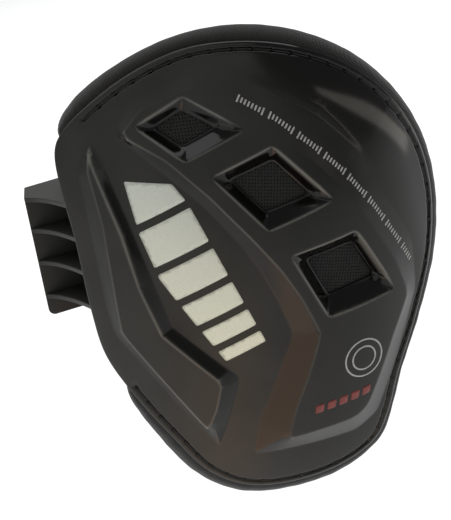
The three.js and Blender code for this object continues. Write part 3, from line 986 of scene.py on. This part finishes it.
def vent_mesh(name, window):
    """Knitted mesh behind a vent: two crossing sets of strands that pass over and under each other."""
    loop = rounded(inset_corners(window, -1.6), 1.5)
    corners = np.array(window, float)
    edge = corners[2] - corners[1]
    turn = math.atan2(edge[1], edge[0]) + MESH_TILT
    first = np.array([math.cos(turn), math.sin(turn)])
    second = np.array([-first[1], first[0]])
    centre = corners.mean(axis=0)
    steps = np.arange(-MESH_REACH, MESH_REACH, MESH_PITCH / 3)
    count = int(MESH_REACH / MESH_PITCH)
    parts = []
    for direction, across, phase in ((first, second, 0), (second, first, 1)):
        for k in range(-count, count + 1):
            wobble = MESH_WOBBLE * np.sin(steps / MESH_PITCH * math.pi + k * math.pi)
            line = centre + direction * steps[:, None] + across * (k * MESH_PITCH + wobble)[:, None]
            kept = inside(line, loop)
            if kept.sum() < 4:
                continue
            runs = np.where(kept)[0]
            line, wave = line[runs[0]:runs[-1] + 1], steps[runs[0]:runs[-1] + 1]
            lift = MESH_LIFT * np.cos(wave / MESH_PITCH * math.pi + (k + phase) * math.pi)
            path = wrap(*line.T, MESH_TOP - 0.32 + lift)
            parts.append(tube(path, STRAND_RADIUS * MM, 5))
    none = np.zeros((0, 2))
    border = [rounded(inset_corners(window, -2.4), 2.0), rounded(inset_corners(window, -0.7), 1.5)]
    parts.append(closed_layer(border, none, none, flat_level(MESH_TOP - 0.02), flat_level(MESH_TOP - 0.62)))
    return make_object(name, *joined(parts))


# ------------------------------------------------------------------ badge and prints

def film(name, shapes, thickness):
    """Thin shapes that lie on the cup's surface. Each is an outline and the holes in it."""
    def level(offset):
        return lambda points: cup.read(*points.T) + FILM_LIFT + offset

    parts = []
    for loops in shapes:
        points = hexagons(loops[0], FILM_STEP, 0.5)
        for hole in loops[1:]:
            points = points[~inside(points, hole) & (distance_to(points, hole)[0] > 0.4)]
        parts.append(closed_layer(loops, points, points, level(thickness), level(0)))
    return make_object(name, *joined(parts))


def clip_polygon(subject, keep, line_point, line_normal):
    """The part of a polygon on one side of a line."""
    side = (subject - line_point) @ line_normal * keep
    result = []
    for i in range(len(subject)):
        j = (i + 1) % len(subject)
        if side[i] >= 0:
            result.append(subject[i])
        if side[i] * side[j] < 0:
            t = side[i] / (side[i] - side[j])
            result.append(subject[i] + t * (subject[j] - subject[i]))
    return np.array(result)


def badge_bars():
    """Plain slanted bars, each thinner than the one above it."""
    start = BADGE_START
    bars = []
    for width in BADGE_BARS:
        bar = clip_polygon(np.array(BADGE_OUTLINE, float), 1, start, BADGE_DOWN)
        start = start + BADGE_DOWN * width
        bar = clip_polygon(bar, -1, start, BADGE_DOWN)
        start = start + BADGE_DOWN * BADGE_GAP
        bars.append([rounded(bar, 0.5, 0.7)])
    return bars


def print_ticks():
    """Plain ticks along the cup's upper right, in groups whose first and last ticks are longer."""
    curve = resample(np.array(TICK_CURVE, float), TICK_PITCH, closed=False)
    ahead = unit(np.gradient(curve, axis=0))
    ticks = []
    for k, (spot, along, up) in enumerate(zip(curve, ahead * 0.3, turned_left(ahead))):
        place = k % TICKS_IN_GROUP
        if place == TICKS_IN_GROUP - 1:
            continue
        rise = up * (1.35 if place in (0, TICKS_IN_GROUP - 2) else 0.95)
        corners = [spot - along - rise, spot + along - rise, spot + along + rise, spot - along + rise]
        ticks.append([rounded(corners, 0.12, 0.4)])
    return ticks


def ring(centre, radius, width):
    angles = np.linspace(0, 2 * math.pi, 48, endpoint=False)
    circle = np.stack([np.cos(angles), np.sin(angles)], -1)
    return [centre + circle * radius, centre + circle * (radius - width)]


def red_dashes():
    dashes = []
    for k in range(5):
        x = 3.2 + k * DASH_PITCH
        corners = [(x, -63.2), (x + 3.1, -63.2), (x + 3.9, -60.0), (x + 0.8, -60.0)]
        dashes.append([rounded(corners, 0.3, 0.6)])
    return dashes


# ------------------------------------------------------------------ materials

class NodeTree:
    """A node tree, with a short way to add each kind of node. Each way gives the node's output."""

    def __init__(self, tree):
        self.nodes = tree.nodes
        self.links = tree.links

    def set(self, socket, value):
        """Links a socket to another node's output, or sets its value."""
        if isinstance(value, bpy.types.NodeSocket):
            self.links.new(value, socket)
        elif socket.type == "RGBA":
            socket.default_value = (*value, 1)
        else:
            socket.default_value = value

    def add(self, kind, output, inputs, **settings):
        node = self.nodes.new("ShaderNode" + kind)
        for name, value in settings.items():
            setattr(node, name, value)
        for name, value in inputs.items():
            self.set(node.inputs[name], value)
        return node.outputs[output]

    def noise(self, scale, detail):
        return self.add("TexNoise", "Fac", {"Scale": scale, "Detail": detail, "Vector": self.coords})

    def attribute(self, name):
        return self.add("Attribute", "Fac", {}, attribute_name=name)

    def math(self, operation, first, second):
        return self.add("Math", 0, {0: first, 1: second}, operation=operation)

    def map_range(self, value, low, high, start=0.0, end=1.0):
        places = {"From Min": start, "From Max": end, "To Min": low, "To Max": high}
        return self.add("MapRange", "Result", {**places, "Value": value})

    def mix(self, share, low, high):
        return self.add("Mix", 2, {6: low, 7: high, 0: share}, data_type="RGBA")

    def ramp(self, value, low, high, start=0.3, end=0.7):
        node = self.nodes.new("ShaderNodeValToRGB")
        for element, place, colour in zip(node.color_ramp.elements, (start, end), (low, high)):
            element.position = place
            element.color = (*colour, 1)
        self.links.new(value, node.inputs["Fac"])
        return node.outputs["Color"]

    def shade(self, inputs):
        """Sets the shader's inputs and gives the finished material."""
        for name, value in inputs.items():
            self.set(self.shader.inputs[name], value)
        return self.material

    def bump(self, height, strength, distance):
        return self.add("Bump", "Normal", {"Strength": strength, "Distance": distance, "Height": height})


def new_look(name):
    """A new material's node tree, with its shader and its object coordinates."""
    material = bpy.data.materials.new(name)
    material.use_nodes = True
    look = NodeTree(material.node_tree)
    look.material = material
    look.shader = look.nodes["Principled BSDF"]
    look.coords = look.add("TexCoord", "Object", {})
    return look


def shell_plastic():
    """Black moulded plastic: grained panels, polished walls, and a painted highlight along its sharp raised
    edges.
    """
    look = new_look("shell_plastic")
    polish = look.attribute("polish")
    grained = look.ramp(look.noise(60, 4), (0.0168, 0.0164, 0.0136), (0.0250, 0.0243, 0.0204))
    tone = look.mix(polish, grained, (0.0042, 0.0038, 0.0034))
    smudge = look.map_range(look.noise(130, 4), -0.03, 0.04)
    grain = look.math("MULTIPLY", look.noise(2200, 3), look.map_range(polish, 1.0, 0.1))
    return look.shade({
        # The pale colour mixed in here is a painted highlight along the sharp raised edges.
        "Base Color": look.mix(look.attribute("painted_edge_highlight"), tone, (0.15, 0.147, 0.13)),
        "Roughness": look.math("ADD", look.map_range(polish, 0.50, 0.075), smudge),
        "Specular IOR Level": 0.29,
        "Normal": look.bump(grain, 0.16, 0.0002),
    })


def knit(name, dark, light, rib_scale, angle, strength):
    """A ribbed knit: fine slanting ribs broken up by single stitches, with loose fibres."""
    look = new_look(name)
    slanted = look.add("Mapping", "Vector", {"Rotation": angle, "Vector": look.coords})
    waves = []
    for direction, scale in (("X", rib_scale), ("Z", rib_scale * 0.8)):
        inputs = {"Scale": scale, "Distortion": 1.2, "Detail": 1.5, "Vector": slanted}
        waves.append(look.add("TexWave", "Fac", inputs, bands_direction=direction))
    ribs = look.math("MULTIPLY", *waves)
    yarn = look.add("Mix", "Result", {"Factor": 0.4, "A": ribs, "B": look.noise(1800, 4)})
    return look.shade({
        "Base Color": look.ramp(yarn, dark, light, 0.15, 0.7),
        "Roughness": 0.92,
        "Sheen Weight": 0.25,
        "Sheen Roughness": 0.5,
        "Normal": look.bump(yarn, strength, 0.0006),
    })


def yarn_material(name, dark, light, scale, roughness):
    """Smooth yarn: fine fibres that show in its colour and its relief."""
    look = new_look(name)
    fibre = look.noise(scale, 3)
    return look.shade({
        "Base Color": look.ramp(fibre, dark, light), "Roughness": roughness,
        "Normal": look.bump(fibre, 0.3, 0.0002),
    })


def foam_material():
    look = new_look("closed_cell_foam")
    cells = look.add("TexVoronoi", "Distance", {"Scale": 1400, "Vector": look.coords})
    return look.shade({
        "Base Color": look.ramp(cells, (0.03, 0.03, 0.032), (0.085, 0.085, 0.09)), "Roughness": 0.9,
        "Normal": look.bump(cells, 0.5, 0.0003),
    })


def film_material():
    """Pale silver reflective transfer: fine glass beads under a clear skin, a little yellower lower down."""
    look = new_look("silver_transfer")
    beads = look.noise(2200, 2)
    lower = look.map_range(look.add("SeparateXYZ", "Z", {"Vector": look.coords}), 0, 1, 0.03, -0.05)
    base = look.ramp(lower, (0.62, 0.64, 0.58), (0.86, 0.80, 0.60), 0.0, 1.0)
    sparkle = look.ramp(beads, (0.7, 0.7, 0.7), (1, 1, 1))
    speckled = look.add(
        "Mix", "Result", {"Factor": 0.35, "A": base, "B": sparkle}, data_type="RGBA", blend_type="MULTIPLY")
    return look.shade({
        "Base Color": speckled, "Metallic": 0.25, "Roughness": 0.42, "Normal": look.bump(beads, 0.12, 0.0002),
    })


def ink_material(name, dark, light):
    look = new_look(name)
    return look.shade({"Base Color": look.ramp(look.noise(1200, 3), dark, light), "Roughness": 0.5})


def soft_step(value, middle, width):
    return 1 / (1 + np.exp(-np.clip((value - middle) / width, -30, 30)))


def polished_walls():
    """The parts of the face that the mould leaves smooth: the long walls and the vents' pockets."""
    polygons = [BODY_FOOT[:10] + BODY_TOP[:10][::-1], WEDGE_FOOT[6:] + WEDGE_TOP[6:][::-1]]
    polygons += [mouth for mouth, window in VENTS.values()]
    walls = cup.copy()
    walls.values[:] = 0
    for polygon in polygons:
        walls.values[inside(walls.points, np.array(polygon, float))] = 1
    walls.values *= 1 - 0.4 * inside(walls.points, np.array(UPPER_WALL, float))
    walls.blur(0.5)
    return walls


def add_surface_attributes(shell):
    """Marks how polished each point of the cup's face is, and where a painted highlight lightens its sharp
    raised edges.
    """
    x, z, o = unwrap(read_vertices(shell))
    on_face = np.clip(1.6 - np.abs(o - cup.read(x, z)), 0, 1)
    from_seam = distance_to(np.stack([x, z], -1), seam[::2], closed=False)[0]
    sharp = np.clip((-cup.read(x, z, cup_bend) - 0.25) / 1.3, 0, 1)
    # Painted highlight: the base colour is lightened along sharp raised edges, standing in for the glints of
    # light on them.
    painted_edge_highlight = 0.85 * sharp * np.clip(o - 0.2, 0, 1) * np.where(from_seam > 1.6, 1, 0.3)
    upper_right = soft_step(x * 0.75 + z * 0.6, 42, 3)
    body = np.maximum(soft_step(x - 0.3 * z, 13, 8) * 0.75, soft_step(x, 50, 4))
    polish = np.max([upper_right, polished_walls().read(x, z), body], axis=0)
    for name, values in (("painted_edge_highlight", painted_edge_highlight), ("polish", polish)):
        marks = shell.data.attributes.new(name, "FLOAT", "POINT")
        marks.data.foreach_set("value", (np.clip(values, 0, 1) * on_face).astype(np.float32))


# ------------------------------------------------------------------ the camera, lights and floor

VIEW_AZIMUTH = math.radians(-6)
VIEW_ELEVATION = math.radians(18)
VIEW_ROLL = math.radians(15)
VIEW_DISTANCE = 0.520
VIEW_WIDTH = 0.151085
AIM_LEFT = 0.0134
AIM_FORWARD = 0.010
SENSOR_WIDTH = 36
STUDIO_CENTRE = (0, 20, -10)
FLOOR_GAP = 0.08
FLOOR_REACH = 8.0

# Each light's place and the point that it faces, in metres from the studio's centre; its width,
# height, brightness and colour; and the direction that its height runs along. The strip gives the
# curved glint on the upper right, and the warm card the brown one on the long wall.
LIGHTS = {
    "backdrop": ((0, 1.2, 1.36), (0, 1.1, -0.14), 3.0, 2.4, 1.5, (1, 1, 1), (0, 0, 1)),
    "left": ((-0.80, -0.62, 0.18), (0, 0, 0), 0.9, 0.9, 0.70, (1, 1, 0.95), (0, 0, 1)),
    "top": ((0.05, -0.75, 0.75), (0, 0, 0), 0.9, 0.5, 0.7, (1, 1, 0.96), (0, 0, 1)),
    "strip": (
        (0.462, -0.082, 0.073), (0, 0, 0), 0.034, 0.48, 1.5, (1, 0.93, 0.82), (-0.243, 0.797, -0.552),
    ),
    "warm": (
        (-0.0585, -0.0657, -0.1061), (0.0035, -0.0067, -0.0561), 0.048, 0.170, 1.1, (1, 0.46, 0.13),
        (0.04, 0.77, -0.63),
    ),
}


def design_point(point):
    return Vector((np.array(point) - SEAT) * MM)


def camera_axes():
    right = Vector((math.cos(VIEW_AZIMUTH), math.sin(VIEW_AZIMUTH), 0))
    back = Vector((math.sin(VIEW_AZIMUTH) * math.cos(VIEW_ELEVATION),
                   -math.cos(VIEW_AZIMUTH) * math.cos(VIEW_ELEVATION), math.sin(VIEW_ELEVATION)))
    return right, right.cross(-back), back


def add_camera():
    right, up, back = camera_axes()
    aim = design_point((0, 0, 0)) - right * AIM_LEFT - back * AIM_FORWARD
    image_right = right * math.cos(VIEW_ROLL) - up * math.sin(VIEW_ROLL)
    image_up = right * math.sin(VIEW_ROLL) + up * math.cos(VIEW_ROLL)
    data = bpy.data.cameras.new("camera")
    data.sensor_fit = "HORIZONTAL"
    data.sensor_width = SENSOR_WIDTH
    data.lens = SENSOR_WIDTH * VIEW_DISTANCE / VIEW_WIDTH
    data.clip_start = 0.01
    camera = bpy.data.objects.new("camera", data)
    turn = Matrix((image_right, image_up, back)).transposed().to_4x4()
    camera.matrix_world = Matrix.Translation(aim + back * VIEW_DISTANCE) @ turn
    bpy.context.scene.collection.objects.link(camera)
    bpy.context.scene.camera = camera


def softbox(name, place, target, width, height, brightness, colour, along):
    """A rectangular light, its height along a direction, as bright to look at whatever its size."""
    centre = design_point(STUDIO_CENTRE)
    data = bpy.data.lights.new(name, "AREA")
    data.shape = "RECTANGLE"
    data.size, data.size_y = width, height
    data.energy = brightness * math.pi * width * height
    data.color = colour
    light = bpy.data.objects.new(name, data)
    light.location = centre + Vector(place)
    away = (Vector(place) - Vector(target)).normalized()
    across = Vector(along).cross(away).normalized()
    light.rotation_euler = Matrix((across, away.cross(across), away)).transposed().to_euler()
    light.visible_camera = False
    bpy.context.scene.collection.objects.link(light)
    return light


def add_studio(cup_object):
    """The lights. The warm card lights only the cup, so it leaves no colour on the floor."""
    lights = {name: softbox(name, *setting) for name, setting in LIGHTS.items()}
    lit_by_warm = bpy.data.collections.new("lit_by_warm")
    lit_by_warm.objects.link(cup_object)
    lights["warm"].light_linking.receiver_collection = lit_by_warm
    world = bpy.data.worlds.new("studio")
    bpy.context.scene.world = world
    world.use_nodes = True
    sky = NodeTree(world.node_tree)
    surround = sky.nodes["Background"]
    seen = sky.add("LightPath", "Is Camera Ray", {})
    sky.set(surround.inputs["Color"], (0.95, 0.98, 1))
    sky.set(surround.inputs["Strength"], sky.map_range(seen, 0.22, 0.95))
    bpy.context.scene.view_settings.view_transform = "Standard"


def add_floor():
    low = cad_box[0][2] - FLOOR_GAP
    corners = [(x * FLOOR_REACH, y * FLOOR_REACH, low) for x, y in ((-1, -1), (1, -1), (1, 1), (-1, 1))]
    floor = make_object("floor", corners, [(0, 1, 2, 3)], smooth=False)
    look = new_look("pale_floor")
    floor.data.materials.append(look.shade({
        "Base Color": look.ramp(look.noise(3, 2), (0.90, 0.90, 0.90), (0.94, 0.94, 0.94)),
        "Roughness": 0.9,
        "Emission Color": (1, 1, 1),
        "Emission Strength": 0.3,
    }))


# ------------------------------------------------------------------ put together

def dress(piece, material, slot, *nodes):
    """Gives a piece its material and its body, and hides the CAD nodes that it stands for."""
    piece.data.materials.clear()
    piece.data.materials.append(material)
    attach(piece, ROOT)
    if nodes:
        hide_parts(*nodes)


add_camera()

shell = impact_shell()
add_surface_attributes(shell)
dress(shell, shell_plastic(), "shell_plastic", "impact_shell")

rim_knit = knit("rim_knit", (0.008, 0.007, 0.0068), (0.030, 0.026, 0.0245), 560, (0.3, 0.2, 0.6), 0.45)
lining_knit = knit("lining_knit", (0.012, 0.012, 0.013), (0.045, 0.045, 0.048), 300, (0, 0, 0), 0.4)
foam = foam_material()
foam_windows = [rounded(window, 1.5) for mouth, window in VENTS.values()]
impact_padding = foam_layer("impact_padding", IMPACT_TOP, IMPACT_THICKNESS, foam_windows)
dress(impact_padding, foam, "foam", "impact_foam")
dress(foam_layer("comfort_padding", COMFORT_TOP, COMFORT_THICKNESS), foam, "foam", "comfort_foam")
cover, lining = sewn_textiles()
dress(cover, rim_knit, "rim_textile", "outer_cover")
dress(lining, lining_knit, "lining", "inner_lining")
dress(edge_binding(), rim_knit, "rim_textile", "edge_binding")

yarn = yarn_material("mesh_yarn", (0.010, 0.010, 0.010), (0.055, 0.054, 0.051), 2500, 0.45)
for vent_name, (mouth, window) in VENTS.items():
    dress(vent_mesh(f"mesh_{vent_name}", window), yarn, "vent_mesh", f"vent_mesh_{vent_name}")

# The needle thread is back-stitched over its last holes, a little to either side.
thread = yarn_material("bonded_thread", (0.003, 0.003, 0.003), (0.012, 0.011, 0.010), 3000, 0.6)
needle_runs = [(0.0, 0), (0.35, len(stitches) - 5), (-0.3, len(stitches) - 4)]
needle = twisted_thread("needle_stitches", 0.42 - GROOVE_DEPTH, -1.2, needle_runs)
bobbin = twisted_thread("bobbin_stitches", PAD_BACK - 1.15, 0.9, [(0.0, 0)])
dress(needle, thread, "thread", "needle_thread")
dress(bobbin, thread, "thread", "bobbin_thread")

dress(film("badge_bars", badge_bars(), FILM_THICKNESS), film_material(), "silver_film", "badge_film")
grey_ink = ink_material("grey_ink", (0.32, 0.31, 0.29), (0.44, 0.43, 0.40))
dress(film("print_ticks", print_ticks(), INK_THICKNESS), grey_ink, "print_ink")
rings = [ring(RING_CENTRE, radius, RING_WIDTH) for radius in RING_RADII]
dress(film("print_rings", rings, INK_THICKNESS), grey_ink, "print_ink")
red_ink = ink_material("red_ink", (0.16, 0.022, 0.016), (0.23, 0.035, 0.026))
dress(film("print_dashes", red_dashes(), INK_THICKNESS), red_ink, "print_ink")

add_studio(shell)
add_floor()
